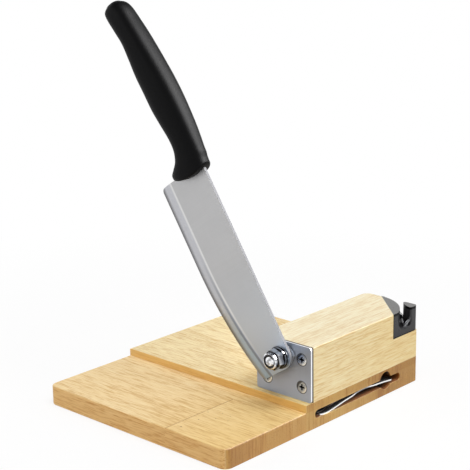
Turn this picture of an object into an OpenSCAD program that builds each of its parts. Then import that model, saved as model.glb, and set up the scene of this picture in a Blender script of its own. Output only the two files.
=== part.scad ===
// Guillotine slicer for hard sausage and bread: a stepped wooden board with a block at its back
// right, a steel plate on the block's front, and a blade that swings on a stud through the plate
// and shears past the step. A sharpener sits in the block's corner, a fork in a slot in the side.
// Millimetres. Origin at the centre of the board's underside, +X right, +Y back, +Z up.

/* [Base board] */
// Width of the board, left to right
base_w = 176; // [166:1:200]
// Depth of the board, front to back
base_d = 209; // [196:1:230]
// Depth of the lower front part, up to the step
front_d = 80.5; // [72:0.5:92]
// Thickness of the lower front part
front_t = 14.4; // [13.6:0.2:15.4]
// Thickness of the rear part
rear_t = 19.8; // [19:0.2:23]
// Radius of the board's front and left corners, seen from above
base_corner_r = 6.5; // [4:0.5:14]
// Radius that eases the wooden edges
ease_r = 0.8; // [0.4:0.1:1.6]

/* [Block] */
// Width of the block
block_w = 48; // [44:0.5:56]
// Height of the block above the board
block_h = 40; // [38:0.5:46]
// Radius of the block's back left corner, seen from above
block_corner_r = 6; // [3:0.5:10]

/* [Pivot] */
// Distance of the pivot from the board's right side
pivot_from_right = 21; // [19:0.5:24]
// Height of the pivot above the rear part of the board
pivot_above_board = 31.2; // [29:0.2:32]
// Diameter of the pivot stud
stud_d = 8; // [7:0.5:8.5]
// Thickness of the steel plate
plate_t = 2; // [1.5:0.25:3]
// Distance across the flats of the nuts
nut_flats = 13; // [12:0.5:14]
// Diameter of the flat washers
washer_d = 16; // [15:0.5:16.5]
// Thickness of the flat washers
washer_t = 1.6; // [1.2:0.1:2]

/* [Blade] */
// Raised angle of the blade above the horizontal
blade_raise = 57; // [20:1:100]
// Thickness of the blade
blade_t = 2; // [1.5:0.25:3]
// Distance from the pivot's centre line to the heel, beside the handle
heel_reach = 145.5; // [135:0.5:160]
// Distance from the pivot to the straight cutting edge
edge_reach = 40.4; // [38:0.2:42]
// Distance from the pivot to the spine
spine_reach = 9; // [8.4:0.2:10]
// Width of the ground bevel
bevel_w = 8.8; // [6:0.2:11]

/* [Handle] */
// Length of the handle
handle_len = 139.5; // [125:0.5:155]
// Greatest width of the grip
handle_w = 27; // [24:0.5:30]
// Greatest thickness of the grip
handle_t = 19.5; // [17:0.5:22]

/* [Sharpener] */
// Length of the insert along the block's back
sharp_back = 33.5; // [32:0.5:38]
// Length of the insert along the block's right side
sharp_side = 30; // [29:0.5:35]
// Height of the insert
sharp_h = 19; // [17.5:0.5:22]
// Narrowest width of the sharpening slot
sharp_gap = 4.5; // [4.2:0.1:6]

/* [Fork] */
// Length of the fork
fork_len = 86; // [80:1:90]
// Width of the fork's head
fork_w = 13; // [11:0.5:15]
// Thickness of the fork's sheet
fork_t = 0.9; // [0.8:0.1:1.2]
// Height of the slot that holds the fork
slot_h = 6; // [5.6:0.1:6.6]

/* [Hidden] */
$fn = 64;

// Overrun of every cut past the surface that it opens
overrun = 1;
// Radial clearance of bought parts in their holes, and of the blade on its bolt
hole_fit = 0.05;
running_fit = 0.06;

// Places of the board's sides, of the step and of the block
right_x = base_w / 2;
front_y = -base_d / 2;
back_y = base_d / 2;
step_y = front_y + front_d;
block_left_x = right_x - block_w;
block_top_z = rear_t + block_h;
base_back_right_r = 1.5;

// Stack on the pivot stud, from the plate forward: nut, washer, blade, washer, spring ring, nut
blade_gap = 0.3;
clamp_nut_h = 4;
spring_t = 2;
lock_hex_h = 5.5;
lock_collar_h = 2.5;
blade_back_y = step_y - blade_gap;
blade_front_y = blade_back_y - blade_t;
plate_front_y = blade_back_y + washer_t + clamp_nut_h;
plate_back_y = plate_front_y + plate_t;
lock_nut_y = blade_front_y - washer_t - spring_t;
stud_end_y = lock_nut_y - lock_hex_h - lock_collar_h;
block_d = back_y - plate_back_y;
pivot_x = right_x - pivot_from_right;
pivot_z = rear_t + pivot_above_board;

steel = [0.72, 0.72, 0.74];
zinc = [0.80, 0.80, 0.82];
wood = [0.90, 0.78, 0.56];
pale_wood = [0.95, 0.88, 0.72];
dark_plastic = [0.25, 0.25, 0.26];

// Rectangle with four corner radii, from the front left corner round to the back left one
module rounded_plan(w, d, radii) {
    corners = [[0, 0], [w, 0], [w, d], [0, d]];
    difference() {
        square([w, d]);
        for (i = [0:3])
            if (radii[i] > 0)
                translate(corners[i]) rotate(90 * i)
                    difference() {
                        translate([-overrun, -overrun]) square(radii[i] + overrun);
                        translate([radii[i], radii[i]]) circle(radii[i]);
                    }
    }
}

// Section of the waste outside an eased top edge: the wood lies at x > 0 and y < 0
module rim_section(r) {
    difference() {
        translate([-overrun, -r]) square([r + overrun, r + overrun]);
        translate([r, -r]) circle(r);
    }
}

// Waste along the top rim of a rounded plan, on the sides that the list marks:
// front, right, back, left
module rim_waste(w, d, radii, sides, r) {
    starts = [[radii[0], 0], [w, radii[1]], [w - radii[2], d], [0, d - radii[3]]];
    lengths = [
        w - radii[0] - radii[1], d - radii[1] - radii[2],
        w - radii[2] - radii[3], d - radii[3] - radii[0]
    ];
    centres = [
        [radii[0], radii[0]], [w - radii[1], radii[1]],
        [w - radii[2], d - radii[2]], [radii[3], d - radii[3]]
    ];
    for (i = [0:3]) {
        if (sides[i])
            translate(starts[i]) rotate(90 * i) rotate([90, 0, 90])
                linear_extrude(lengths[i]) rim_section(r);
        if (radii[i] > r && sides[i] && sides[(i + 3) % 4])
            translate(centres[i]) rotate(180 + 90 * i)
                rotate_extrude(angle = 90) translate([radii[i], 0]) mirror([1, 0]) rim_section(r);
    }
}

// Base board: the front part is lower, so the blade shears past the step
fork_slot_z = 10.3;
fork_slot_front_y = step_y + 9.5;
fork_slot_spare = 6;
fork_slot_len = fork_len + 2 * fork_slot_spare;
fork_slot_depth = fork_w + 3.5;
finger_d = 13.5;
finger_share = 0.82;
finger_y = fork_slot_front_y + fork_slot_len * finger_share;
finger_z = 11.6;
finger_depth = 15;

module fork_slot() {
    ends = [fork_slot_front_y + slot_h / 2, fork_slot_front_y + fork_slot_len - slot_h / 2];
    translate([right_x - fork_slot_depth, ends[0], fork_slot_z - slot_h / 2])
        cube([fork_slot_depth + overrun, ends[1] - ends[0], slot_h]);
    for (y = ends)
        translate([right_x - fork_slot_depth, y, fork_slot_z]) rotate([0, 90, 0])
            cylinder(d = slot_h, h = fork_slot_depth + overrun);
    translate([right_x - finger_depth, finger_y, finger_z]) rotate([0, 90, 0])
        cylinder(d = finger_d, h = finger_depth + overrun);
}

module base_board() {
    plan_radii = [base_corner_r, base_corner_r, base_back_right_r, base_corner_r];
    front_radii = [base_corner_r, base_corner_r, 0, 0];
    rear_w = base_w - block_w;
    color(wood)
        difference() {
            translate([-right_x, front_y]) {
                linear_extrude(front_t) rounded_plan(base_w, base_d, plan_radii);
                translate([0, front_d])
                    linear_extrude(rear_t)
                        rounded_plan(base_w, base_d - front_d, [0, 0, base_back_right_r, base_corner_r]);
            }
            translate([-right_x, front_y, front_t])
                rim_waste(base_w, front_d, front_radii, [true, true, false, true], ease_r);
            translate([-right_x, step_y, rear_t])
                rim_waste(rear_w, base_d - front_d, [0, 0, 0, base_corner_r], [false, false, true, true], ease_r);
            mirror([0, 0, 1])
                translate([-right_x, front_y])
                    rim_waste(base_w, base_d, plan_radii, [true, true, true, true], ease_r);
            fork_slot();
            for (y = block_screw_ys)
                translate([block_screw_x, y, 0]) screw_hole(block_screw, block_screw_len);
            for (y = block_dowel_ys)
                translate([block_dowel_x, y, rear_t - dowel_len / 2 - dowel_spare])
                    cylinder(d = dowel_d + 2 * hole_fit, h = dowel_len);
        }
}

// Countersunk cross-head screws, each a list: head diameter, shank diameter, head depth
plate_screw = [8.3, 3.2, 2.4];
block_screw = [8.6, 4.2, 3.2];
sharp_screw = [4.6, 2.4, 1.5];
plate_screw_len = 18;
block_screw_len = 42;
sharp_screw_len = 15;
recess_share = 0.55;
recess_slot_share = 0.16;
recess_depth_share = 0.6;

// Screw along +Z, its head's flat face at z = 0 looking down
module countersunk_screw(size, len) {
    head_d = size[0];
    shank_d = size[1];
    head_h = size[2];
    difference() {
        union() {
            cylinder(d1 = head_d, d2 = shank_d, h = head_h);
            cylinder(d = shank_d, h = len - shank_d);
            translate([0, 0, len - shank_d]) cylinder(d1 = shank_d, d2 = shank_d / 4, h = shank_d);
        }
        for (a = [0, 90])
            rotate(a)
                translate([-head_d * recess_share / 2, -head_d * recess_slot_share / 2, -overrun])
                    cube([head_d * recess_share, head_d * recess_slot_share, head_h * recess_depth_share + overrun]);
    }
}

// Hole for the same screw, from just below its head upward
module screw_hole(size, len) {
    head_d = size[0] + 2 * hole_fit;
    shank_d = size[1] + 2 * hole_fit;
    translate([0, 0, -overrun]) cylinder(d = head_d, h = overrun + hole_fit);
    translate([0, 0, hole_fit]) cylinder(d1 = head_d, d2 = shank_d, h = size[2]);
    cylinder(d = shank_d, h = len + hole_fit);
}

// Block: glued and screwed to the board, flush at its right side and back
block_screw_x_share = 0.25;
block_screw_y_shares = [0.21, 0.82];
block_dowel_x_share = 0.38;
block_dowel_y_shares = [0.36, 0.65];
block_screw_x = block_left_x + block_w * block_screw_x_share;
block_screw_ys = [for (share = block_screw_y_shares) plate_back_y + block_d * share];
block_dowel_x = block_left_x + block_w * block_dowel_x_share;
block_dowel_ys = [for (share = block_dowel_y_shares) plate_back_y + block_d * share];
dowel_d = 8;
dowel_len = 24;
dowel_spare = 0.5;

module block_screw_at(y) {
    color(zinc) translate([block_screw_x, y, hole_fit]) countersunk_screw(block_screw, block_screw_len - 2 * hole_fit);
}

module block_dowel_at(y) {
    color(pale_wood) translate([block_dowel_x, y, rear_t - dowel_len / 2]) cylinder(d = dowel_d, h = dowel_len - dowel_spare);
}

module pivot_block() {
    radii = [0, 0, base_back_right_r, block_corner_r];
    color(pale_wood)
        difference() {
            translate([block_left_x, plate_back_y, rear_t]) linear_extrude(block_h) rounded_plan(block_w, block_d, radii);
            translate([block_left_x, plate_back_y, block_top_z])
                rim_waste(block_w, block_d, radii, [false, true, true, true], ease_r);
            translate([0, 0, sharp_bottom_z]) linear_extrude(sharp_h + overrun) sharp_plan(overrun);
            at_sharp_screw() screw_hole(sharp_screw, sharp_screw_len);
            at_pivot(plate_back_y + stud_in_wood + hole_fit)
                cylinder(d = stud_d + 2 * hole_fit, h = stud_in_wood + hole_fit + overrun);
            for (p = plate_screw_places)
                translate([p[0], plate_front_y, p[1]]) rotate([-90, 0, 0]) screw_hole(plate_screw, plate_screw_len);
            for (y = block_screw_ys)
                translate([block_screw_x, y, 0]) screw_hole(block_screw, block_screw_len);
            for (y = block_dowel_ys)
                translate([block_dowel_x, y, rear_t - dowel_len / 2 - dowel_spare])
                    cylinder(d = dowel_d + 2 * hole_fit, h = dowel_len + dowel_spare);
        }
}

// Pivot plate: covers the block's front and takes the clamp of the stud's first nut. It stands
// a little proud of the block on the left
plate_corner_r = 2;
plate_over = 1.5;
plate_left_x = block_left_x - plate_over;
plate_screw_inset_x = 8.3;
plate_screw_inset_z = 10;
plate_screw_places = [
    [block_left_x + plate_screw_inset_x, block_top_z - plate_screw_inset_z],
    [right_x - plate_screw_inset_x, block_top_z - plate_screw_inset_z],
    [block_left_x + plate_screw_inset_x, rear_t + plate_screw_inset_z],
    [right_x - plate_screw_inset_x, rear_t + plate_screw_inset_z]
];

// Children stand on the pivot's axis with +Z pointing forward, from the depth y
module at_pivot(y) {
    translate([pivot_x, y, pivot_z]) rotate([90, 0, 0]) children();
}

module pivot_plate() {
    radii = [plate_corner_r, plate_corner_r, plate_corner_r, plate_corner_r];
    color(steel)
        difference() {
            translate([plate_left_x, plate_back_y, rear_t]) rotate([90, 0, 0])
                linear_extrude(plate_t) rounded_plan(right_x - plate_left_x, block_h, radii);
            at_pivot(plate_back_y) stud_bore(0, plate_t);
            for (p = plate_screw_places)
                translate([p[0], plate_front_y, p[1]]) rotate([-90, 0, 0]) screw_hole(plate_screw, plate_screw_len);
        }
}

module plate_screw_at(i) {
    color(zinc) translate([plate_screw_places[i][0], plate_front_y + hole_fit, plate_screw_places[i][1]])
        rotate([-90, 0, 0]) countersunk_screw(plate_screw, plate_screw_len - 2 * hole_fit);
}

// Pivot stud: its rear end is screwed into the block's wood, its front end carries the nuts
stud_in_wood = 38;
stud_chamfer = 0.8;
stud_point_share = 0.4;

module pivot_stud() {
    shank_h = plate_back_y - stud_end_y;
    color(zinc)
        at_pivot(plate_back_y) {
            mirror([0, 0, 1]) {
                cylinder(d = stud_d, h = stud_in_wood - stud_d);
                translate([0, 0, stud_in_wood - stud_d])
                    cylinder(d1 = stud_d, d2 = stud_d * stud_point_share, h = stud_d);
            }
            cylinder(d = stud_d, h = shank_h - stud_chamfer);
            translate([0, 0, shank_h - stud_chamfer])
                cylinder(d1 = stud_d, d2 = stud_d - 2 * stud_chamfer, h = stud_chamfer);
        }
}

// Hexagon whose corners are turned off at 30 degrees at both ends, as nuts have
nut_face_share = 0.96;
nut_chamfer_angle = 30;
clamp_nut_turn = 7;
lock_nut_turn = -15;

module hexagon(height, turn) {
    corner_d = nut_flats / cos(30);
    face_r = nut_flats * nut_face_share / 2;
    reach = corner_d / 2 - face_r + overrun;
    rise = reach * tan(nut_chamfer_angle);
    intersection() {
        rotate(turn) cylinder(d = corner_d, h = height, $fn = 6);
        rotate_extrude()
            polygon([
                [0, 0], [face_r, 0], [face_r + reach, rise],
                [face_r + reach, height - rise], [face_r, height], [0, height]
            ]);
    }
}

module stud_bore(from, to) {
    translate([0, 0, from - overrun]) cylinder(d = stud_d + 2 * hole_fit, h = to - from + 2 * overrun);
}

module clamp_nut() {
    color(zinc)
        at_pivot(plate_front_y)
            difference() {
                hexagon(clamp_nut_h, clamp_nut_turn);
                stud_bore(0, clamp_nut_h);
            }
}

module flat_washer() {
    difference() {
        cylinder(d = washer_d, h = washer_t);
        stud_bore(0, washer_t);
    }
}

module rear_washer() {
    color(zinc) at_pivot(blade_back_y + washer_t) flat_washer();
}

module front_washer() {
    color(zinc) at_pivot(blade_front_y) flat_washer();
}

// Spring ring: square section, split at one place
spring_d = 14.8;
spring_split = 1.2;
spring_split_turn = 35;

module spring_washer() {
    color(zinc)
        at_pivot(blade_front_y - washer_t)
            difference() {
                cylinder(d = spring_d, h = spring_t);
                stud_bore(0, spring_t);
                rotate(spring_split_turn) translate([0, -spring_split / 2, -overrun])
                    cube([spring_d, spring_split, spring_t + 2 * overrun]);
            }
}

// Lock nut: a hexagon with a round collar rolled over a nylon ring
lock_collar_d = 11.8;
lock_rim_t = 0.8;
lock_lip_h = 0.5;
nylon_h = lock_collar_h - lock_lip_h;
nylon_d = lock_collar_d - 2 * lock_rim_t;

module lock_nut() {
    total = lock_hex_h + lock_collar_h;
    color(zinc)
        at_pivot(lock_nut_y)
            difference() {
                union() {
                    hexagon(lock_hex_h, lock_nut_turn);
                    cylinder(d = lock_collar_d, h = total - lock_rim_t / 2);
                    translate([0, 0, total - lock_rim_t / 2])
                        cylinder(d1 = lock_collar_d, d2 = lock_collar_d - lock_rim_t, h = lock_rim_t / 2);
                }
                stud_bore(0, lock_hex_h);
                translate([0, 0, lock_hex_h]) cylinder(d = nylon_d + 2 * hole_fit, h = nylon_h + hole_fit);
                translate([0, 0, lock_hex_h])
                    cylinder(d = nylon_d - 2 * lock_rim_t, h = lock_collar_h + overrun);
            }
}

module nylon_ring() {
    color("white")
        at_pivot(lock_nut_y - lock_hex_h)
            difference() {
                cylinder(d = nylon_d, h = nylon_h);
                stud_bore(0, nylon_h);
            }
}

// Blade, drawn in its own plane: x runs from the pivot along the blade, y towards the edge and
// z from the back face, which slides past the step, to the ground front face
edge_arc_r = 290;
edge_arc_start = 82;
tip_r = 5;
heel_r = 3.2;
edge_land = 0.25;
bevel_over_turn = 3;
tang_w = 13;
tang_y = -3;
tang_reach = 236;
tang_r = 4;
tang_hole_d = 5;
tang_hole_reaches = [heel_reach + 28, heel_reach + 62];
edge_arc_y = edge_reach - edge_arc_r;
tip_centre = [
    tip_r - spine_reach,
    edge_arc_y + sqrt(pow(edge_arc_r - tip_r, 2) - pow(edge_arc_start + spine_reach - tip_r, 2))
];
tip_turn = atan2(edge_arc_start - tip_centre[0], tip_centre[1] - edge_arc_y);

function arc(centre, r, from, to, steps) =
    [for (i = [0:steps]) let (a = from + (to - from) * i / steps) centre + r * [cos(a), sin(a)]];

function blade_outline() = concat(
    arc([0, 0], spine_reach, 270, 180, 12),
    arc(tip_centre, tip_r, 180, 90 + tip_turn, 8),
    arc([edge_arc_start, edge_arc_y], edge_arc_r, 90 + tip_turn, 90, 24),
    arc([heel_reach - heel_r, edge_reach - heel_r], heel_r, 90, 0, 6),
    [[heel_reach, tang_y + tang_w / 2]],
    arc([tang_reach - tang_r, tang_y + tang_w / 2 - tang_r], tang_r, 90, 0, 6),
    arc([tang_reach - tang_r, tang_y - tang_w / 2 + tang_r], tang_r, 0, -90, 6),
    [[heel_reach, tang_y - tang_w / 2], [heel_reach, -spine_reach]]
);

// Plan of the tang's cavity in the handle; the plastic also fills the tang's two holes
module tang_cavity_plan() {
    difference() {
        translate([heel_reach, tang_y - tang_w / 2 - hole_fit])
            rounded_plan(tang_reach - heel_reach + hole_fit, tang_w + 2 * hole_fit, [0, tang_r, tang_r, 0]);
        for (x = tang_hole_reaches)
            translate([x, tang_y]) circle(d = tang_hole_d - 2 * hole_fit);
    }
    translate([0, -spine_reach - hole_fit]) square([heel_reach + hole_fit, edge_reach + spine_reach]);
}

// Waste under the ground bevel, as a section with the blade's edge at x = 0
module bevel_section() {
    slope = (blade_t - edge_land) / bevel_w;
    polygon([
        [-bevel_w - overrun / slope, blade_t + overrun],
        [overrun, blade_t + overrun],
        [overrun, edge_land - overrun * slope]
    ]);
}

module at_blade() {
    translate([pivot_x, blade_back_y, pivot_z]) rotate([0, 180 + blade_raise, 0]) rotate([90, 0, 0]) children();
}

module blade() {
    color(steel)
        at_blade()
            difference() {
                linear_extrude(blade_t) polygon(blade_outline());
                for (x = tang_hole_reaches)
                    translate([x, tang_y, -overrun]) cylinder(d = tang_hole_d, h = blade_t + 2 * overrun);
                translate([edge_arc_start, edge_reach, 0]) rotate([90, 0, 90])
                    linear_extrude(heel_reach - edge_arc_start + overrun) bevel_section();
                translate([edge_arc_start, edge_arc_y, 0]) rotate(90)
                    rotate_extrude(angle = tip_turn + bevel_over_turn, $fn = 360) translate([edge_arc_r, 0]) bevel_section();
                translate([0, 0, -overrun])
                    cylinder(d = stud_d + 2 * running_fit, h = blade_t + 2 * overrun);
            }
}

// Handle: moulded round the tang. Each station is a share of the length from the guard, then the
// section's centre and half width as shares of the grip's width, and its half thickness as a share
// of the grip's thickness
handle_station_shares = [
    [0.000, 0.150, 0.645, 0.410],
    [0.040, 0.146, 0.646, 0.415],
    [0.075, 0.060, 0.594, 0.410],
    [0.110, -0.034, 0.503, 0.405],
    [0.160, -0.112, 0.448, 0.415],
    [0.225, -0.138, 0.447, 0.440],
    [0.310, -0.117, 0.483, 0.470],
    [0.400, -0.090, 0.510, 0.495],
    [0.495, -0.073, 0.502, 0.500],
    [0.595, -0.040, 0.480, 0.500],
    [0.690, -0.024, 0.431, 0.490],
    [0.780, 0.004, 0.389, 0.475],
    [0.860, 0.078, 0.388, 0.460],
    [0.930, 0.150, 0.390, 0.430],
    [0.970, 0.205, 0.345, 0.370],
    [0.992, 0.222, 0.222, 0.240]
];
guard_bulge_r = 38;
guard_bulge_y = 1;
guard_fade_share = 0.12;
guard_setback = 6;
section_power = 2.5;
handle_sides = 24;
handle_steps = 3;
handle_start = heel_reach - guard_setback;

function blend4(a, b, c, d, t) =
    (2 * b + (c - a) * t + (2 * a - 5 * b + 4 * c - d) * t * t + (3 * b - a - 3 * c + d) * t * t * t) / 2;

function station(i) = handle_station_shares[min(max(i, 0), len(handle_station_shares) - 1)];

handle_rings = [
    for (i = [0:len(handle_station_shares) - 2], k = [0:handle_steps - 1])
        blend4(station(i - 1), station(i), station(i + 1), station(i + 2), k / handle_steps),
    station(len(handle_station_shares) - 1)
];

function power_of(v) = sign(v) * pow(abs(v), 2 / section_power);

// One ring of the handle in the blade's frame. The rings near the guard bow towards the pivot.
function handle_ring(share, grow) = [
    for (k = [0:handle_sides - 1])
        let (
            a = 360 * k / handle_sides,
            y = handle_w * (share[1] + share[2] * grow * power_of(cos(a))),
            z = handle_t * share[3] * grow * power_of(sin(a)),
            fade = max(0, 1 - share[0] / guard_fade_share)
        )
        [handle_start + handle_len * share[0] + fade * pow(y - guard_bulge_y, 2) / (2 * guard_bulge_r), y, z]
];

module handle_form() {
    first = handle_rings[0];
    last = handle_rings[len(handle_rings) - 1];
    cap = [0.86, 0.96];
    cap_reach = [0, 0.004];
    rings = concat(
        [for (i = [0:1]) handle_ring([cap_reach[i], first[1], first[2], first[3]], cap[i])],
        [for (i = [1:len(handle_rings) - 1]) handle_ring(handle_rings[i], 1)],
        [handle_ring([1, last[1], last[2], last[3]], 1 / 2)]
    );
    count = len(rings);
    n = handle_sides;
    ends = [
        [handle_start, handle_w * first[1], 0],
        [handle_start + handle_len, handle_w * last[1], 0]
    ];
    polyhedron(
        points = concat([for (r = rings) for (p = r) p], ends),
        faces = concat(
            [for (i = [0:count - 2], k = [0:n - 1]) [i * n + k, (i + 1) * n + k, (i + 1) * n + (k + 1) % n]],
            [for (i = [0:count - 2], k = [0:n - 1]) [i * n + k, (i + 1) * n + (k + 1) % n, i * n + (k + 1) % n]],
            [for (k = [0:n - 1]) [count * n, k, (k + 1) % n]],
            [for (k = [0:n - 1]) [count * n + 1, (count - 1) * n + (k + 1) % n, (count - 1) * n + k]]
        )
    );
}

module handle() {
    color([0.08, 0.08, 0.08])
        at_blade()
            difference() {
                translate([0, 0, blade_t / 2]) handle_form();
                translate([0, 0, -hole_fit])
                    linear_extrude(blade_t + 2 * hole_fit) tang_cavity_plan();
            }
}

// Sharpener: a corner insert with a waisted slot across it. The slot's floor runs level from the
// right mouth to the waist and ramps up from there to the back, and two crossed rods stand in its
// level part
sharp_left_r = 37.5;
sharp_right_r = 17.8;
sharp_slot_depth = 14.5;
sharp_lip_depth = 7;
sharp_u_r = 7.3;
sharp_corner_r = 3;
sharp_post_r = 1.5;
sharp_turn = 51.3;
sharp_waist_x = right_x - 10.4;
sharp_waist_y = back_y - 6.5;
sharp_bottom_z = block_top_z - sharp_h;
sharp_right_centre = [
    sharp_waist_x + (sharp_gap / 2 + sharp_right_r) * cos(sharp_turn),
    sharp_waist_y + (sharp_gap / 2 + sharp_right_r) * sin(sharp_turn)
];
sharp_ramp_len = (back_y - sharp_waist_y) / cos(sharp_turn);
sharp_ramp_foot = 0.4;
sharp_ramp_slope = (sharp_slot_depth + sharp_ramp_foot - sharp_lip_depth) / sharp_ramp_len;
sharp_screw_back = 4.5;
sharp_screw_side = 0.15;
sharp_screw_clear = sharp_slot_depth - sharp_lip_depth;
sharp_screw_top_z = block_top_z - sharp_slot_depth - hole_fit;
rod_d = 2.2;
rod_lean = 30;
rod_out = 7.3;
rod_aside = 1.2;
rod_cross_above = 0.7;
rod_above = 5;
rod_below = 5;

// Plan of the insert. A positive overrun widens it past the block's back and side
module sharp_plan(over) {
    reach = sharp_corner_r + over;
    difference() {
        polygon([
            [right_x - sharp_back, back_y + over],
            [right_x + over, back_y + over],
            [right_x + over, back_y - sharp_side],
            [right_x, back_y - sharp_side],
            [right_x - sharp_back, back_y]
        ]);
        if (over == 0)
            translate([right_x - sharp_corner_r, back_y - sharp_corner_r])
                difference() {
                    square(reach + overrun);
                    circle(sharp_corner_r);
                }
    }
}

// Children lie in the slot's frame: x along the slot towards the right face, y across it
module at_sharp_slot() {
    translate([sharp_waist_x, sharp_waist_y]) rotate(sharp_turn - 90) children();
}

// Children point down from the floor of the slot, where the insert's screw stands
module at_sharp_screw() {
    at_sharp_slot()
        translate([-sharp_screw_back, sharp_screw_side, sharp_screw_top_z]) mirror([0, 0, 1]) children();
}

// Waste that rounds the post's edge where its curved wall meets a flat face. The rounding's
// centre is given, and the tip is a point outside the post beyond the edge
module post_edge_waste(centre, flat_point, tip) {
    wall_point = sharp_right_centre
        + (centre - sharp_right_centre) * sharp_right_r / (sharp_right_r - sharp_post_r);
    out = (wall_point - centre) * overrun / sharp_post_r;
    difference() {
        polygon([centre, flat_point, tip, wall_point + out, wall_point]);
        translate(centre) circle(sharp_post_r);
    }
}

module post_wastes() {
    inner_r = sharp_right_r - sharp_post_r;
    back_centre_y = back_y - sharp_post_r;
    side_centre_x = right_x - sharp_post_r;
    back_centre = [
        sharp_right_centre[0] - sqrt(pow(inner_r, 2) - pow(sharp_right_centre[1] - back_centre_y, 2)),
        back_centre_y
    ];
    side_centre = [
        side_centre_x,
        sharp_right_centre[1] - sqrt(pow(inner_r, 2) - pow(sharp_right_centre[0] - side_centre_x, 2))
    ];
    post_edge_waste(back_centre, back_centre + [0, sharp_post_r + overrun],
        back_centre + [-3 * sharp_post_r, sharp_post_r + overrun]);
    post_edge_waste(side_centre, side_centre + [sharp_post_r + overrun, 0],
        side_centre + [sharp_post_r + overrun, -3 * sharp_post_r]);
}

module sharp_slot() {
    reach = sharp_back;
    floor_z = block_top_z - sharp_slot_depth;
    intersection() {
        translate([0, 0, sharp_bottom_z])
            linear_extrude(sharp_h + overrun) {
                at_sharp_slot()
                    difference() {
                        translate([-reach, -reach / 2]) square([2 * reach, reach]);
                        translate([0, -sharp_gap / 2 - sharp_left_r]) circle(sharp_left_r, $fn = 128);
                        translate([0, sharp_gap / 2 + sharp_right_r]) circle(sharp_right_r, $fn = 96);
                    }
                post_wastes();
            }
        at_sharp_slot()
            translate([0, 0, floor_z])
                union() {
                    level_waste();
                    ramp_waste();
                }
    }
}

// Waste over the level floor, which is rounded across
module level_waste() {
    translate([0, 0, sharp_u_r]) rotate([90, 0, 90])
        linear_extrude(2 * sharp_back) {
            circle(sharp_u_r);
            translate([-sharp_u_r, 0]) square([2 * sharp_u_r, sharp_h]);
        }
}

// Waste over the ramp, whose foot lies a little under the level floor
module ramp_waste() {
    run = 2 * sharp_ramp_len;
    translate([0, sharp_u_r, 0]) rotate([90, 0, 0])
        linear_extrude(2 * sharp_u_r)
            polygon([
                [0, sharp_h], [0, -sharp_ramp_foot],
                [-run, run * sharp_ramp_slope - sharp_ramp_foot], [-run, sharp_h]
            ]);
}

module rod_at(side, fit) {
    at_sharp_slot()
        translate([
            rod_out + side * (rod_d / 2 + hole_fit), rod_aside,
            block_top_z - sharp_slot_depth + rod_cross_above
        ])
            rotate([-side * rod_lean, 0, 0]) translate([0, 0, -rod_below - fit])
                cylinder(d = rod_d + 2 * fit, h = rod_above + rod_below + 2 * fit, $fn = 32);
}

module sharpener_body() {
    color(dark_plastic)
        difference() {
            translate([0, 0, sharp_bottom_z]) linear_extrude(sharp_h) sharp_plan(0);
            sharp_slot();
            rod_at(-1, hole_fit);
            rod_at(1, hole_fit);
            at_sharp_screw() screw_hole(sharp_screw, sharp_screw_len);
            at_sharp_screw() mirror([0, 0, 1]) cylinder(d = sharp_screw[0] + 2 * hole_fit, h = sharp_screw_clear);
        }
}

module sharpener_screw() {
    color(zinc) at_sharp_screw() translate([0, 0, hole_fit]) countersunk_screw(sharp_screw, sharp_screw_len - 2 * hole_fit);
}

// Fork: one piece of sprung sheet steel, whose arch holds it between the slot's floor and roof
fork_recess = 0.3;
fork_front_y = fork_slot_front_y + fork_slot_spare;
fork_profile_shares = [
    [0.00, -0.33], [0.09, -0.415], [0.19, -0.26], [0.34, 0.05], [0.50, 0.235],
    [0.65, 0.285], [0.80, 0.15], [0.92, -0.03], [1.00, -0.21]
];
fork_profile_steps = 5;
fork_end_r_share = 0.42;
fork_neck_share = 0.8;
fork_tine_share = 0.30;
fork_tines = 3;
fork_tine_gap = 1.7;

function fork_knot(i) = fork_profile_shares[min(max(i, 0), len(fork_profile_shares) - 1)];

fork_line = [
    for (i = [0:len(fork_profile_shares) - 2], k = [0:fork_profile_steps - 1])
        let (s = blend4(fork_knot(i - 1), fork_knot(i), fork_knot(i + 1), fork_knot(i + 2), k / fork_profile_steps))
        [s[0] * fork_len, s[1] * slot_h],
    [fork_len, fork_knot(len(fork_profile_shares) - 1)[1] * slot_h]
];

module fork_side() {
    polygon(concat(
        [for (p = fork_line) [p[0], p[1] - fork_t / 2]],
        [for (i = [len(fork_line) - 1:-1:0]) [fork_line[i][0], fork_line[i][1] + fork_t / 2]]
    ));
}

// Plan of the fork: x along it from the tines' tips, y across it
module fork_plan() {
    tine_len = fork_len * fork_tine_share;
    neck_r = fork_len / 2;
    waist = fork_w * (1 - fork_neck_share) / 2;
    end_r = fork_w * fork_end_r_share;
    difference() {
        translate([0, -fork_w / 2])
            rounded_plan(fork_len, fork_w, [end_r / 2, end_r, end_r, end_r / 2]);
        for (side = [-1, 1])
            translate([fork_len * 0.56, side * (fork_w / 2 + neck_r * 1.35 - waist)])
                circle(neck_r * 1.35, $fn = 128);
        for (k = [1:fork_tines - 1])
            translate([-overrun, fork_w * (k / fork_tines - 1 / 2) - fork_tine_gap / 2])
                square([tine_len + overrun, fork_tine_gap]);
        for (k = [1:fork_tines - 1])
            translate([tine_len, fork_w * (k / fork_tines - 1 / 2)]) circle(d = fork_tine_gap);
    }
}

module serving_fork() {
    color(steel)
        translate([right_x - fork_recess - fork_w / 2, fork_front_y, fork_slot_z])
            intersection() {
                rotate([90, 0, 90]) translate([0, 0, -fork_w]) linear_extrude(2 * fork_w) fork_side();
                rotate(90) translate([0, 0, -slot_h]) linear_extrude(2 * slot_h) fork_plan();
            }
}

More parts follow.
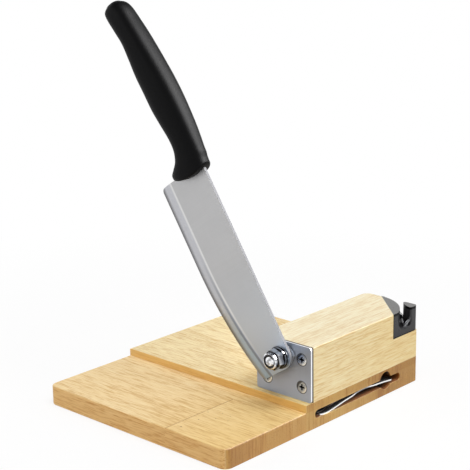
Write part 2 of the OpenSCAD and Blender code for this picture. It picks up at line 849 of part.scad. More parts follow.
base_board();
pivot_block();
pivot_plate();
plate_screw_at(0);  // plate_screw_top_left
plate_screw_at(1);  // plate_screw_top_right
plate_screw_at(2);  // plate_screw_bottom_left
plate_screw_at(3);  // plate_screw_bottom_right
pivot_stud();
clamp_nut();
rear_washer();
blade();
handle();
front_washer();
spring_washer();
lock_nut();
nylon_ring();
sharpener_body();
color(zinc) rod_at(-1, 0);  // sharpener_rod_left
color(zinc) rod_at(1, 0);  // sharpener_rod_right
sharpener_screw();
serving_fork();
block_screw_at(block_screw_ys[0]);  // block_screw_front
block_screw_at(block_screw_ys[1]);  // block_screw_rear
block_dowel_at(block_dowel_ys[0]);  // block_dowel_front
block_dowel_at(block_dowel_ys[1]);  // block_dowel_rear
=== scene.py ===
# Guillotine slicer in its picture's setting: a white studio, a soft light from above, and the
# camera in front of the board's right corner. The sections follow the slicer as it is put
# together. Lengths are in metres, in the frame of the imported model.
import math

import bmesh
import bpy
from mathutils import Matrix, Vector


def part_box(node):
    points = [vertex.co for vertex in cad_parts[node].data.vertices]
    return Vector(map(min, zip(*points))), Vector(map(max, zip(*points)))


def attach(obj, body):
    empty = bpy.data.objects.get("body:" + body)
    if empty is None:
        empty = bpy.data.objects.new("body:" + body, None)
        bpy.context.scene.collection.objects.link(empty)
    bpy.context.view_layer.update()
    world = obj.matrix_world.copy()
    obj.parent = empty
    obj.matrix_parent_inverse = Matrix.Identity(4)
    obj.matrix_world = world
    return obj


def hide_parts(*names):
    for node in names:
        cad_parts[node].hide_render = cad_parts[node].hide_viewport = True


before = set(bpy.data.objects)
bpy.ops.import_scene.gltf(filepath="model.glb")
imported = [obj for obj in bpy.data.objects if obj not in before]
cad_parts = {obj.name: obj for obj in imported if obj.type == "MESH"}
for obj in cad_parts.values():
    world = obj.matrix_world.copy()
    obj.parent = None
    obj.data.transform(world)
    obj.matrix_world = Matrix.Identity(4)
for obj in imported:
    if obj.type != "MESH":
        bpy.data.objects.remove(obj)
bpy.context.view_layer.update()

# Camera: a long lens, level but for a degree, that looks down on the board from the front
# right, so that the handle's end touches the top of the picture.
camera_place = Vector((0.6399, -0.6809, 0.3766))
camera_turn, camera_dip, camera_roll = (math.radians(a) for a in (43.138, 15.344, -1.0))
camera_lens, film_width = 103.56, 36

ahead = Vector((-math.sin(camera_turn) * math.cos(camera_dip),
                math.cos(camera_turn) * math.cos(camera_dip),
                -math.sin(camera_dip)))
level = ahead.cross(Vector((0, 0, 1))).normalized()
upward = level.cross(ahead)
across = level * math.cos(camera_roll) + upward * math.sin(camera_roll)
upright = upward * math.cos(camera_roll) - level * math.sin(camera_roll)
camera = bpy.data.objects.new("camera", bpy.data.cameras.new("camera"))
camera.matrix_world = Matrix((across, upright, -ahead)).transposed().to_4x4()
camera.matrix_world.translation = camera_place
camera.data.lens = camera_lens
camera.data.sensor_width = film_width
camera.data.clip_start = 0.01
bpy.context.collection.objects.link(camera)
bpy.context.scene.camera = camera
bpy.context.scene.view_settings.view_transform = "Standard"

# Studio lamps: a wide soft one above and to the right, and a weaker one in front on the left.
# Two panels behind on the right light nothing but what is polished: the long soft highlight
# down the handle, the bright line on the blade's spine and the glints on the nuts.


def soft_light(name, place, size, power, target=(0, 0, 0.05), gloss_only=False):
    """Adds a square soft light that faces the target."""
    lamp = bpy.data.objects.new(name, bpy.data.lights.new(name, "AREA"))
    lamp.visible_camera = False
    lamp.visible_diffuse = not gloss_only
    lamp.data.shape = "SQUARE"
    lamp.data.size = size
    lamp.data.energy = power
    lamp.location = place
    lamp.rotation_euler = (Vector(target) - Vector(place)).to_track_quat("-Z", "Y").to_euler()
    bpy.context.collection.objects.link(lamp)


soft_light("overhead_light", (0.5, -0.1, 1.5), 0.9, 11.5)
soft_light("front_light", (-0.9, -1.3, 0.7), 0.8, 3)
soft_light("side_panel", (0.86, 0.26, 1.12), 1.25, 130, (-0.10, 0, 0.28), gloss_only=True)
soft_light("back_panel", (0.62, 0.82, 0.86), 0.85, 26, (-0.06, 0, 0.25), gloss_only=True)

# Walls: plain white, full bright where the camera or a polished face sees them, and softer
# as a light. A polished face that looks up sees the dark ceiling over them.
wall_light = 0.62
ceiling_start, ceiling_end, ceiling_dark = 0.28, 0.5, 0.9


class Field:
    """A value that varies over a surface. Sums and products of fields become nodes."""

    def __init__(self, nodes, socket):
        self.nodes = nodes
        self.socket = socket

    def maths(self, operation, *values):
        return self.nodes.node("Math", {"operation": operation}, dict(enumerate(values)))

    def __add__(self, other):
        return self.maths("ADD", self, other)

    def __sub__(self, other):
        return self.maths("SUBTRACT", self, other)

    def __rsub__(self, other):
        return self.maths("SUBTRACT", other, self)

    def __mul__(self, other):
        return self.maths("MULTIPLY", self, other)

    def __abs__(self):
        return self.maths("ABSOLUTE", self)

    def __gt__(self, other):
        return self.maths("GREATER_THAN", self, other)

    def __lt__(self, other):
        return self.maths("LESS_THAN", self, other)

    __radd__ = __add__
    __rmul__ = __mul__

    def fade(self, start, end):
        """Rises smoothly from 0 where the value is start to 1 where it is end."""
        return self.nodes.node("MapRange", {"interpolation_type": "SMOOTHSTEP"},
                               {"Value": self, "From Min": start, "From Max": end})


class Nodes:
    """The nodes of a material or of the walls. node() makes each of them."""

    def __init__(self, tree):
        self.tree = tree

    def feed(self, node, sockets):
        """Links or sets a node's sockets."""
        for socket, value in sockets.items():
            if isinstance(value, Field):
                self.tree.links.new(value.socket, node.inputs[socket])
            else:
                node.inputs[socket].default_value = value

    def node(self, kind, settings=None, sockets=None, output=0):
        """Adds a node, its settings first and its sockets next, and gives one output."""
        node = self.tree.nodes.new("ShaderNode" + kind)
        for name, value in (settings or {}).items():
            setattr(node, name, value)
        self.feed(node, sockets or {})
        return Field(self, node.outputs[output])

    def seen_or_mirrored(self):
        """1 for what the camera sees, straight or in a polished face or through glass."""
        seen, mirrored, through = (self.node("LightPath", output=f"Is {ray} Ray")
                                   for ray in ("Camera", "Glossy", "Transmission"))
        return (seen + mirrored + through).fade(0, 1)


world = bpy.data.worlds.new("studio")
bpy.context.scene.world = world
world.use_nodes = True
walls = Nodes(world.node_tree)
direction = walls.node("TexCoord", output="Generated")
ceiling = walls.node("SeparateXYZ", {}, {0: direction}, "Z").fade(ceiling_start, ceiling_end)
mirrored = walls.node("LightPath", output="Is Glossy Ray")
brightness = walls.seen_or_mirrored() * (1 - wall_light) + wall_light
walls.feed(world.node_tree.nodes["Background"], {
    "Color": (1, 1, 1, 1), "Strength": brightness - mirrored * ceiling * ceiling_dark})

# Floor: a white sheet of paper that runs out to the walls. It keeps a faint shadow round the
# board and fades into the white of the walls further out.
floor_size = 12.0
shadow_reach = (0.2, 0.5)
glow_near_board = 0.8


class Finish(Nodes):
    """A material whose shader is the Principled one. Everything in it is worked out from the
    place on the piece, so that its grain keeps its real size and moves with the piece."""

    def __init__(self, name, **sockets):
        self.material = bpy.data.materials.new(name)
        self.material.use_nodes = True
        super().__init__(self.material.node_tree)
        self.shader = self.tree.nodes["Principled BSDF"]
        self.set(**sockets)
        self.place = self.node("TexCoord", output="Object")

    def parts(self):
        """The place's x, y and z."""
        split = self.node("SeparateXYZ", {}, {0: self.place}).socket.node
        return [Field(self, part) for part in split.outputs]

    def stretched(self, vector, scales):
        """A vector with each of its parts multiplied."""
        return self.node("VectorMath", {"operation": "MULTIPLY"}, {0: vector, 1: scales})

    def along(self, vector, direction):
        """How far a vector reaches in a direction."""
        return self.node("VectorMath", {"operation": "DOT_PRODUCT"},
                         {0: vector, 1: direction}, "Value")

    def away(self, vector, point):
        """How far a vector's end is from a point."""
        return self.node("VectorMath", {"operation": "DISTANCE"}, {0: vector, 1: point}, "Value")

    def facing(self, direction):
        """How squarely the surface faces a direction: 1 squarely, 0 edge on, -1 away from it."""
        return self.along(self.node("TexCoord", output="Normal"), direction)

    def noise(self, vector, scales, detail=2, rough=0.5):
        """Soft cloudy variation about 0.5. The scales are in waves to the metre."""
        return self.node("TexNoise", {}, {"Vector": self.stretched(vector, scales),
                                          "Scale": 1.0, "Detail": detail, "Roughness": rough})

    def blend(self, share, low, high, mode="MIX"):
        """A colour between two colours, or the first darkened by the second. The Mix node
        has its factor in socket 0 and its colours in 6 and 7."""
        return self.node("Mix", {"data_type": "RGBA", "blend_type": mode},
                         {0: share, 6: low, 7: high}, 2)

    def relief(self, height, depth, strength=1.0):
        """Surface relief from a height of 0 to 1 that stands for the depth in metres."""
        self.feed(self.shader, {"Normal": self.node(
            "Bump", {}, {"Strength": strength, "Distance": depth, "Height": height})})

    def set(self, **sockets):
        """Sets the shader's sockets, whose names are written here with underscores."""
        self.feed(self.shader, {name.replace("_", " "): value for name, value in sockets.items()})


def tone(red, green, blue):
    """A colour as seen, 0 to 255, as the linear colour that nodes take."""
    return [((c / 255 + 0.055) / 1.055) ** 2.4 if c > 10 else c / 255 / 12.92
            for c in (red, green, blue)] + [1]


floor_mesh = bpy.data.meshes.new("floor")
corners = [(-1, -1), (1, -1), (1, 1), (-1, 1)]
floor_mesh.from_pydata(
    [(x * floor_size / 2, y * floor_size / 2, 0) for x, y in corners], [], [(0, 1, 2, 3)])
floor = bpy.data.objects.new("floor", floor_mesh)
bpy.context.collection.objects.link(floor)
paper = Finish("floor_paper")
far_off = paper.away(paper.place, (0, 0, 0)).fade(*shadow_reach)
glow_share = paper.seen_or_mirrored() * (far_off * (1 - glow_near_board) + glow_near_board)
bare = paper.node("BsdfDiffuse", {}, {"Color": tone(246, 246, 246)})
glow = paper.node("Emission", {}, {"Color": tone(255, 255, 255), "Strength": 1.0})
lit = paper.node("MixShader", {}, {0: glow_share, 1: bare, 2: glow})
paper.feed(paper.tree.nodes["Material Output"], {"Surface": lit})
floor_mesh.materials.append(paper.material)

# Base board: oiled rubberwood staves glued side by side, thicker behind than in front, so that
# the two parts meet in a step. One stave has a butt joint with a few dark specks beside it,
# and the fork's slot is routed in the right side.
right_side, step_y, front_top = 0.088, -0.0240, 0.0144
stave_joints = (-0.038, 0.028)
butt_joint = 0.0325
specks = [((0.0388, -0.0954), 0.0009), ((0.0393, -0.0792), 0.0007), ((0.0352, -0.0657), 0.0006),
          ((0.0470, -0.0705), 0.0006), ((0.0520, -0.0610), 0.0005), ((0.0560, -0.0680), 0.0005),
          ((0.0445, -0.0610), 0.0005)]
slot_back_x, slot_ends = 0.070, (-0.0155, 0.0845)
# The side tone is a painted shade for the faces that are not level.
board_tones = {"pale": tone(247, 232, 190), "straw": tone(242, 222, 173),
               "deep": tone(214, 178, 116), "side": tone(232, 213, 184),
               "end": tone(201, 173, 120)}
slot_burn, slot_painted_shade = tone(166, 98, 34), tone(14, 8, 5)


def wood(name, grain, tones, stave_at=None):
    """Oiled rubberwood with its grain along x or y, and darker sawn ends. Faces that are not
    level are painted darker with the side tone, a painted shade. stave_at numbers the staves
    glued up, each of which starts at another place in the grain."""
    finish = Finish(name, Specular_IOR_Level=0.3)
    x, y, z = finish.parts()
    long, wide, grain_axis = (x, y, (1, 0, 0)) if grain == "x" else (y, x, (0, 1, 0))
    stave = stave_at(x, y) if stave_at else 0
    cut = finish.node("CombineXYZ", {}, {0: long + stave * 0.37, 1: wide + stave * 0.061, 2: z})
    end = abs(finish.facing(grain_axis)).fade(0.6, 0.8)
    # Painted shade: faces that are not level take the side tone, multiplied in below.
    side = (1 - abs(finish.facing((0, 0, 1)))).fade(0.05, 0.4)
    cloud = finish.noise(cut, (3, 22, 22), 2, 0.5)
    growth = finish.noise(cut, (8, 150, 150), 3, 0.6)
    streak = finish.noise(cut, (60, 860, 860), 4, 0.66)
    fibre = finish.noise(cut, (80, 1300, 1300), 2, 0.6)
    pores = finish.noise(cut, (70, 760, 760), 2, 0.55).fade(0.56, 0.7)
    bands = finish.noise(cut, (20, 34, 14), 3, 0.6)
    ends = finish.noise(cut, (40, 210, 30), 4, 0.65)
    lines = finish.noise(cut, (40, 800, 36), 3, 0.6)
    long_grain = cloud * 0.8 + growth * 0.6 + streak * 1.9 + fibre - 1.6
    end_grain = bands * 1.5 + ends * 1.4 + lines * 1.4 - 1.65
    shade = long_grain + end * (end_grain - long_grain)
    colour = finish.blend(shade.fade(0.08, 0.5), tones["pale"], tones["straw"])
    colour = finish.blend(shade.fade(0.46, 0.95), colour, tones["deep"])
    colour = finish.blend(pores * 0.6, colour, tones["deep"])
    colour = finish.blend(side * (1 - end), colour, tones["side"], "MULTIPLY")
    colour = finish.blend(end, colour, tones["end"], "MULTIPLY")
    finish.set(Roughness=0.46 + fibre * 0.14 + end * 0.1)
    finish.relief(fibre * 0.6 - pores * 0.8 + streak * 0.3, 0.00012)
    return finish, colour


def board_stave(x, y):
    """Numbers the staves from the front. The front one is in two lengths."""
    row = (y > stave_joints[0]) + (y > stave_joints[1])
    return row + (x > butt_joint) * (y < stave_joints[0]) * 3


def dress(node, finish, edge=0.0):
    """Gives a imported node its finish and, where asked, its softly broken edges."""
    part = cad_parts[node]
    part.data.materials.clear()
    part.data.materials.append(finish.material)
    if edge:
        weld = part.modifiers.new("joined_faces", "WELD")
        weld.merge_threshold = 1e-6
        bevel = part.modifiers.new("broken_edges", "BEVEL")
        bevel.width = edge
        bevel.segments = 2
        bevel.limit_method = "ANGLE"
        bevel.angle_limit = math.radians(40)
        bevel.harden_normals = True


board_wood, colour = wood("board_wood", "x", board_tones, board_stave)
x, y, z = board_wood.parts()
inside = right_side - x
front_stave = y < stave_joints[0]
on_top = z > front_top - 0.0002
on_side = inside.fade(0.0012, 0.0002)
warm = board_wood.node("TexWhiteNoise", {"noise_dimensions": "1D"},
                       {"W": board_stave(x, y) + 0.35}, "Value")
warmer_staves = warm * 0.22 + front_stave * 0.22
top_right = x.fade(-0.02, 0.08) * on_top
low_front = y < step_y + 0.0002
side_rear = on_side * y.fade(0.0, 0.09)
side_front = on_side * y.fade(-0.070, -0.098)
for share, tint in ((warmer_staves, tone(244, 232, 205)), (top_right, tone(247, 239, 211)),
                    (low_front, tone(254, 246, 240)), (side_rear, tone(226, 212, 184)),
                    (side_front, tone(232, 222, 205))):
    colour = board_wood.blend(share, colour, tint, "MULTIPLY")
step_face = (y < step_y + 0.0004) * (z > front_top + 0.0002)
colour = board_wood.blend(step_face * 0.5, colour, tone(244, 200, 116))

broken = board_wood.noise(board_wood.place, (60, 300, 60), 2, 0.6).fade(0.3, 0.5)
glue = (abs(x - butt_joint) < 0.0005) * front_stave * on_top * (broken * 0.5 + 0.25)
for joint in stave_joints:
    glue = glue + (abs(y - joint) < 0.00014) * 0.3
colour = board_wood.blend(glue * 0.8, colour, tone(172, 116, 60))
dots = 0
for (speck_x, speck_y), speck_size in specks:
    spot = board_wood.away(board_wood.place, (speck_x, speck_y, front_top))
    dots = dots + spot.fade(speck_size, speck_size * 0.4)
colour = board_wood.blend(dots * 0.75, colour, tone(134, 80, 34))

routed = (x > slot_back_x) * (y > slot_ends[0]) * (y < slot_ends[1])
lighter_end = y.fade(0.070, 0.078) * 0.7
upper_half = z.fade(0.0072, 0.0080)
colour = board_wood.blend(routed * inside.fade(0.0001, 0.0006), colour, slot_burn)
# Painted shade: the slot's upper part near the mouth and everything deeper in are painted near
# black, less so towards the slot's rear end.
for share in (inside.fade(0.0003, 0.0018) * upper_half * (1 - lighter_end),
              inside.fade(0.0015, 0.0080) * (1 - lighter_end * 0.6)):
    colour = board_wood.blend(routed * share, colour, slot_painted_shade)
board_wood.set(Base_Color=colour)
dress("base_board", board_wood)

# Pivot block: one length of the same wood, sawn with the grain from front to back and left
# square, glued and screwed to the board. Its front, behind the plate, and the first millimetre of
# its top and sides there are painted dark, a painted shadow of the plate.
block_front, block_top = -0.0167, 0.0598
block_tones = {"pale": tone(243, 236, 211), "straw": tone(238, 225, 190),
               "deep": tone(222, 195, 147), "side": tone(252, 243, 219),
               "end": tone(240, 216, 176)}

block_wood, colour = wood("block_wood", "y", block_tones)
x, y, z = block_wood.parts()
rear_side = y.fade(0.0, 0.1) * (z < block_top - 0.0006)
colour = block_wood.blend(rear_side, colour, tone(250, 244, 228), "MULTIPLY")
# Painted shadow: the front face and the first millimetre behind it are painted dark.
plate_painted_shadow = y.fade(block_front + 0.0010, block_front + 0.0003)
colour = block_wood.blend(plate_painted_shadow * 0.85, colour, tone(84, 70, 54))
block_wood.set(Base_Color=colour)
dress("pivot_block", block_wood)

# Dowels and long screws: beech dowels and plain wood screws that come up through the board and
# hold the block. Only the screws' heads show, under the board. The plate's screws and the
# sharpener's are of the same steel; their cross recess is painted black, a painted shade, and
# each plate screw's rim is painted light on one side and dark on the other, a painted highlight
# and a painted shade.
dowel_tones = {"pale": tone(233, 205, 160), "straw": tone(222, 190, 142),
               "deep": tone(196, 157, 108), "side": tone(250, 240, 225),
               "end": tone(250, 240, 225)}
plate_front = -0.0187
plate_screws = ("plate_screw_top_left", "plate_screw_top_right",
                "plate_screw_bottom_left", "plate_screw_bottom_right")
head_reach = 0.006
light_side = Vector((0.8, 0, -0.6))

dowel_wood, colour = wood("dowel_wood", "x", dowel_tones)
dowel_wood.set(Base_Color=colour)
for node in ("block_dowel_front", "block_dowel_rear"):
    dress(node, dowel_wood)


def steel(name, shade, rough, brush=None, lines=900, contrast=0.08):
    """Bare or plated steel. brush is the direction that its fine polishing lines run across,
    and lines is how many there are to the metre."""
    finish = Finish(name, Metallic=1.0)
    cloud = finish.noise(finish.place, (45, 45, 45), 3, 0.6)
    if brush:
        rows = finish.node("CombineXYZ", {}, {
            0: finish.along(finish.place, brush) * lines,
            1: finish.along(finish.place, (3, 2, 4))})
        scratch = finish.node("TexNoise", {}, {
            "Vector": rows, "Scale": 1.0, "Detail": 3, "Roughness": 0.7})
    else:
        scratch = finish.noise(finish.place, (lines, lines, lines), 2, 0.6)
    dark = [c * (1 - contrast) for c in shade[:3]] + [1]
    light_share = scratch.fade(0.3, 0.7) * 0.6 + cloud.fade(0.35, 0.65) * 0.4
    finish.set(Roughness=rough - 0.05 + scratch * 0.06 + cloud * 0.06)
    finish.relief(scratch, 0.00003, 0.5)
    return finish, finish.blend(light_share, dark, shade)


screw_steel, colour = steel("screw_steel", tone(182, 196, 222), 0.26, contrast=0.3)
sunk = screw_steel.parts()[1]
# Painted shade: whatever lies more than half a millimetre behind the plate's front, the cross
# recesses among it, is painted near black.
painted_recess_shade = sunk.fade(plate_front + 0.00005, plate_front + 0.0005) * (sunk < 0)
head_centres = []
for node in plate_screws:
    low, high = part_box(node)
    centre = Vector(((low.x + high.x) / 2, low.y, (low.z + high.z) / 2))
    reach = screw_steel.away(screw_steel.place, centre)
    # Painted highlight and painted shade: each head's rim is painted light on one side and dark
    # on the other.
    rim = (reach < head_reach) * reach.fade(0.0022, 0.0032)
    lit = screw_steel.along(screw_steel.place, light_side) - centre.dot(light_side)
    colour = screw_steel.blend(rim * lit.fade(0.0016, 0.0030), colour, tone(226, 238, 255))
    colour = screw_steel.blend(rim * lit.fade(-0.0012, -0.0030), colour, tone(84, 90, 102))
    head_centres.append(centre)
colour = screw_steel.blend(painted_recess_shade, colour, tone(14, 14, 15))
screw_steel.set(Base_Color=colour, Metallic=0.75)
for node in ("block_screw_front", "block_screw_rear", "sharpener_screw"):
    dress(node, screw_steel)

# Pivot plate: a stamped steel plate on the block's front, which keeps the clamped stud from
# sinking into the wood. Four countersunk screws hold it, each in a thin painted ring of shade.
# Its cut edges are painted near white, a painted highlight, the rear of its edges is painted
# dark, a painted shadow against the block, and it is painted lighter and bluer towards the
# bottom, painted light against the board's warm reflection.
plate_edge = 0.00025
painted_shade_black = tone(30, 30, 32)

plate_steel, colour = steel("plate_steel", tone(145, 151, 162), 0.42, brush=(1, 0, 0), lines=700)
x, y, z = plate_steel.parts()
# Painted light: lighter and bluer towards the bottom, against the board's warm reflection there.
colour = plate_steel.blend(z.fade(0.052, 0.022), colour, tone(168, 180, 205))
# Painted highlight: the cut edges are painted near white.
painted_edge_highlight = abs(plate_steel.facing((0, 1, 0))).fade(0.8, 0.5)
colour = plate_steel.blend(painted_edge_highlight, colour, tone(240, 240, 242))
# Painted shade: the rear of the plate's edges and a thin ring round each screw head are painted
# dark.
painted_gap_shade = y.fade(plate_front + 0.0008, plate_front + 0.0012)
for node, centre in zip(plate_screws, head_centres):
    painted_gap_shade = painted_gap_shade + plate_steel.away(plate_steel.place, centre).fade(0.0049, 0.0045)
    dress(node, screw_steel)
plate_steel.set(Base_Color=plate_steel.blend(painted_gap_shade * 0.9, colour, painted_shade_black), Metallic=0.55)
dress("pivot_plate", plate_steel, plate_edge)

# Pivot: a stud in the block, a nut that clamps it to the plate, washers on both sides of the
# blade, a spring washer, and a lock nut with a nylon ring. All bright zinc plated, with painted
# shade in the joints between them and round the stud's end, and streaky dark patches painted on
# as a painted reflection.
pivot = Vector((0.067, -0.0243, 0.051))
joint_places = (-0.0189, -0.0227, -0.0243, -0.0263, -0.0279, -0.0299, -0.0354)
ring_radius, ring_front = 0.0045, -0.0370

zinc_steel, colour = steel("zinc_steel", tone(246, 248, 252), 0.1, contrast=0.1)
# Painted reflection: streaky dark patches stand in for a darker room seen in the bright zinc.
painted_dark_reflection = zinc_steel.noise(zinc_steel.place, (430, 80, 430), 2, 0.5).fade(0.45, 0.58)
colour = zinc_steel.blend(painted_dark_reflection * 0.55, colour, tone(62, 64, 68))
depth = zinc_steel.parts()[1]
# Painted shade: a thin dark ring at each joint between the parts and round the stud's end.
painted_gap_shade = 0
for joint in joint_places:
    painted_gap_shade = painted_gap_shade + abs(depth - joint).fade(0.0007, 0.0003)
flat = zinc_steel.stretched(zinc_steel.place, (1, 0, 1))
radius = zinc_steel.away(flat, (pivot.x, 0, pivot.z))
painted_gap_shade = painted_gap_shade + abs(radius - ring_radius).fade(0.0007, 0.0004) * (depth < ring_front)
zinc_steel.set(Base_Color=zinc_steel.blend(painted_gap_shade * 0.92, colour, tone(18, 18, 20)))
for node in ("pivot_stud", "clamp_nut", "rear_washer", "front_washer", "spring_washer",
             "lock_nut"):
    dress(node, zinc_steel)
nylon = Finish("nylon", Roughness=0.45)
mottle = nylon.noise(nylon.place, (500, 500, 500), 3, 0.6)
nylon.set(Base_Color=nylon.blend(mottle, tone(20, 21, 23), tone(36, 37, 40)))
nylon.relief(mottle, 0.00005, 0.4)
dress("nylon_ring", nylon)

# Blade: stainless sheet, laser cut, with a ground bevel along its curved edge and a satin finish
# that runs across it from spine to edge. A bright line is painted where the bevel starts, a
# painted highlight, with a painted shade line beside it, and the honed edge itself is darker.
# Towards the pivot end the face, the bevel and the edge are painted lighter and bluer, painted
# light against the board's warm reflection.
blade_rise = math.radians(57)
to_tip = Vector((-math.cos(blade_rise), 0, math.sin(blade_rise)))
to_edge = Vector((-math.sin(blade_rise), 0, -math.cos(blade_rise)))
to_front = Vector((0, -1, 0))
edge_reach, curve_start, curve_radius = 0.0404, 0.082, 0.290
bevel_width, crease_shade_width = 0.0118, 0.0022
blade_edge = 0.00012
spine_grey = tone(88, 88, 90)

blade_steel, colour = steel("blade_steel", tone(183, 183, 184), 0.42,
                            brush=to_tip, lines=2600, contrast=0.05)
up_blade = blade_steel.along(blade_steel.place, to_tip) - pivot.dot(to_tip)
out_blade = blade_steel.along(blade_steel.place, to_edge) - pivot.dot(to_edge)
curve_centre = pivot + to_tip * curve_start + to_edge * (edge_reach - curve_radius)
straight = up_blade > curve_start
inward = (straight * (edge_reach - out_blade)
          + (1 - straight) * (curve_radius - blade_steel.away(blade_steel.place, curve_centre)))
front = blade_steel.facing(to_front) > 0.5
cut = abs(blade_steel.facing(to_front)).fade(0.95, 0.7)

# Painted light: towards the pivot end the face, the bevel and the edge are painted lighter and
# bluer, against the board's warm reflection in them.
low_end = up_blade.fade(0.07, 0.0)
bevel = blade_steel.blend(low_end, tone(187, 188, 193), tone(216, 222, 234))
honed = blade_steel.blend(up_blade.fade(0.03, 0.0), tone(112, 112, 114), tone(148, 156, 172))
colour = blade_steel.blend(low_end, colour, tone(197, 197, 198))
on_bevel = front * inward.fade(bevel_width, bevel_width - 0.0008)
colour = blade_steel.blend(on_bevel, colour, bevel)
cool_half = up_blade.fade(0.080, 0.020)
cool_pivot_end = up_blade.fade(0.03, -0.01)
cool_bevel = up_blade.fade(0.05, 0.02) * inward.fade(0.012, 0.008)
for share, tint in ((cool_half, tone(243, 249, 255)), (cool_pivot_end, tone(228, 239, 255)),
                    (cool_bevel, tone(222, 238, 255))):
    colour = blade_steel.blend(share, colour, tint, "MULTIPLY")
colour = blade_steel.blend(front * inward.fade(0.0050, 0.0005), colour, honed)
# Painted shade: a dark line just outside the bright line where the bevel starts, stronger towards
# the pivot end.
painted_crease_shade = abs(inward - (bevel_width - crease_shade_width)).fade(crease_shade_width, 0.0004)
painted_crease_shade = front * painted_crease_shade * up_blade.fade(0.105, 0.02)
colour = blade_steel.blend(painted_crease_shade * 0.8, colour, tone(112, 114, 118))
# Painted highlight: a bright line where the bevel starts.
painted_bevel_highlight = front * abs(inward - bevel_width).fade(0.0015, 0.0003) * up_blade.fade(0.0, 0.05)
colour = blade_steel.blend(painted_bevel_highlight, colour, tone(212, 212, 212))
colour = blade_steel.blend(cut, colour, spine_grey)
satin = blade_steel.noise(blade_steel.place, (400, 400, 400), 2, 0.6)
blade_steel.set(Base_Color=colour, Metallic=0.8, Roughness=0.38 + satin * 0.08 + cut * 0.36)
dress("blade", blade_steel, blade_edge)

# Handle: black plastic moulded round the blade's tang, in a fine satin texture. It widens to
# a guard at the blade and to a butt that hooks down at the end.
handle_start = 0.1395
handle_length, handle_width, handle_thickness = 0.1395, 0.027, 0.0195
half_blade = 0.001
roundness = 0.8
guard_bow, guard_bow_share = 0.038, 0.12
guard_depth = 0.006
guard_bow_middle = 0.001
handle_sides, rings_between = 72, 6
# Each station is a share of the length from the guard, then the middle and the half width as
# shares of the grip's width, and the half thickness as a share of its thickness.
stations = [
    (0.000, 0.150, 0.645, 0.410), (0.040, 0.146, 0.646, 0.415), (0.075, 0.060, 0.594, 0.410),
    (0.110, -0.034, 0.503, 0.405), (0.160, -0.112, 0.448, 0.415), (0.225, -0.138, 0.447, 0.440),
    (0.310, -0.117, 0.483, 0.470), (0.400, -0.090, 0.510, 0.495), (0.495, -0.073, 0.502, 0.500),
    (0.595, -0.040, 0.480, 0.500), (0.690, -0.024, 0.431, 0.490), (0.780, 0.004, 0.389, 0.475),
    (0.860, 0.078, 0.388, 0.460), (0.930, 0.150, 0.390, 0.430), (0.970, 0.205, 0.345, 0.370),
    (0.992, 0.222, 0.222, 0.240)]
guard_face = [(0.0, 0.3), (0.0, 0.62), (0.0, 0.86), (0.0015, 0.93), (0.004, 0.975)]
butt_turns = (0.4, 0.8, 1.15, 1.4)


def between(before, start, end, after, t):
    """A smooth curve through the stations: the value at t between start and end."""
    return tuple((2 * b + (c - a) * t + (2 * a - 5 * b + 4 * c - d) * t * t
                  + (3 * b - a - 3 * c + d) * t ** 3) / 2
                 for a, b, c, d in zip(before, start, end, after))


def handle_ring(mesh, station, grow):
    """One ring of the handle. The rings near the guard bow towards the pivot."""
    share, middle, half_width, half_thickness = station
    ring = []
    for k in range(handle_sides):
        turn = 2 * math.pi * k / handle_sides
        c, s = math.cos(turn), math.sin(turn)
        y = handle_width * (middle + half_width * grow * math.copysign(abs(c) ** roundness, c))
        z = handle_thickness * half_thickness * grow * math.copysign(abs(s) ** roundness, s)
        bow = max(0, 1 - share / guard_bow_share) * (y - guard_bow_middle) ** 2 / (2 * guard_bow)
        x = handle_start + handle_length * share + bow
        ring.append(mesh.verts.new(
            pivot + to_tip * x + to_edge * y + to_front * (z + half_blade)))
    return ring


mesh = bmesh.new()
padded = [stations[0]] + stations + [stations[-1]]
run = [between(*padded[i:i + 4], k / rings_between)
       for i in range(len(stations) - 1) for k in range(rings_between)] + [stations[-1]]
butt_start = stations[-1][0]
butt = [(butt_start + (1 - butt_start) * math.sin(a), math.cos(a)) for a in butt_turns]
rings = [handle_ring(mesh, (share, *stations[0][1:]), grow) for share, grow in guard_face]
rings += [handle_ring(mesh, station, 1) for station in run if station[0] > guard_depth]
rings += [handle_ring(mesh, (share, *stations[-1][1:]), grow) for share, grow in butt]
for near, far in zip(rings, rings[1:]):
    for k in range(handle_sides):
        mesh.faces.new((near[k], near[k - 1], far[k - 1], far[k]))
for ring in (rings[0], list(reversed(rings[-1]))):
    mesh.faces.new(ring)
bmesh.ops.recalc_face_normals(mesh, faces=mesh.faces)
handle_mesh = bpy.data.meshes.new("moulded_handle")
mesh.to_mesh(handle_mesh)
mesh.free()
handle_mesh.shade_smooth()
moulded_handle = bpy.data.objects.new("moulded_handle", handle_mesh)
bpy.context.collection.objects.link(moulded_handle)

handle_plastic = Finish("handle_plastic", Specular_IOR_Level=0.055)
grit = handle_plastic.noise(handle_plastic.place, (1500, 1500, 1500), 2, 0.6)
haze = handle_plastic.noise(handle_plastic.place, (60, 60, 60), 3, 0.6)
handle_plastic.set(Base_Color=handle_plastic.blend(haze, tone(8, 8, 9), tone(13, 13, 14)),
                   Roughness=0.38 + grit * 0.08 + haze * 0.05)
handle_plastic.relief(grit, 0.00006, 0.6)
handle_mesh.materials.append(handle_plastic.material)
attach(moulded_handle, "blade")
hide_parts("handle")

# Sharpener: a black moulded corner insert with a waisted slot for the knife's edge and two
# crossed steel rods that it is drawn between. Its top faces are painted light grey, a painted
# highlight, its sides are painted black under the top edges and where it meets the wood, a
# painted shade, and it is painted darker towards the bottom, a painted shade too.
sharpener_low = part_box("sharpener_body")[0]
sharpener_edge = 0.0004

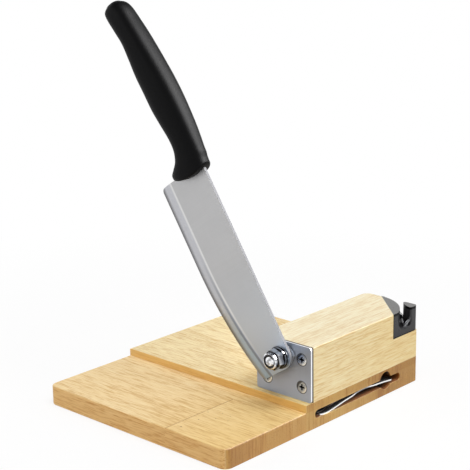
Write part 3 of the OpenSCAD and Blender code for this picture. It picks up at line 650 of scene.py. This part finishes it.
sharpener_plastic = Finish("sharpener_plastic", Specular_IOR_Level=0.4)
grit = sharpener_plastic.noise(sharpener_plastic.place, (1100, 1100, 1100), 2, 0.6)
x, y, z = sharpener_plastic.parts()
up = sharpener_plastic.facing((0, 0, 1)).fade(0.7, 0.9)
high = z.fade(block_top - 0.0024, block_top - 0.0014)
# Painted shade: the lower part is painted darker.
deep = z.fade(0.052, 0.042)
# Painted shade: the band just under the top edges and the strips at the bottom and front, where
# the insert meets the wood, are painted black.
painted_seam_shade = (z.fade(sharpener_low.z + 0.0012, sharpener_low.z + 0.0005)
        + y.fade(sharpener_low.y + 0.0012, sharpener_low.y + 0.0005))
painted_edge_shade = (high + painted_seam_shade) * (1 - up)
colour = sharpener_plastic.blend(grit, tone(24, 24, 26), tone(38, 38, 40))
colour = sharpener_plastic.blend(deep * 0.6, colour, tone(12, 12, 13))
colour = sharpener_plastic.blend(painted_edge_shade, colour, tone(3, 3, 4))
# Painted highlight: the top faces are painted light grey.
colour = sharpener_plastic.blend(high * up, colour, tone(106, 105, 104))
sharpener_plastic.set(Base_Color=colour, Roughness=0.24 + grit * 0.1,
                      Metallic=painted_edge_shade.fade(0, 1) * 0.85 + deep * 0.12)
sharpener_plastic.relief(grit, 0.00006, 0.5)
dress("sharpener_body", sharpener_plastic, sharpener_edge)
rod_steel, colour = steel("rod_steel", tone(165, 166, 169), 0.12, contrast=0.6)
rod_steel.set(Base_Color=colour)
dress("sharpener_rod_left", rod_steel)
dress("sharpener_rod_right", rod_steel)

# Serving fork: thin sprung steel that lies arched in the slot in the board's side. Its end is
# painted white, a painted highlight where it shows, and further into the slot it is painted
# darker, a painted shade.
fork_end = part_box("serving_fork")[1].x

fork_steel, colour = steel("fork_steel", tone(240, 240, 242), 0.2, brush=(1, 0, 0))
# Painted shade and painted highlight: further into the slot the steel is painted darker, and its
# end white.
painted_slot_shade = fork_steel.blend(0.7, colour, tone(84, 85, 88))
further_in = (fork_steel.parts()[0] - fork_end).fade(-0.0004, -0.0012)
fork_steel.set(Base_Color=fork_steel.blend(further_in, tone(255, 255, 255), painted_slot_shade),
               Metallic=0.8)
dress("serving_fork", fork_steel)
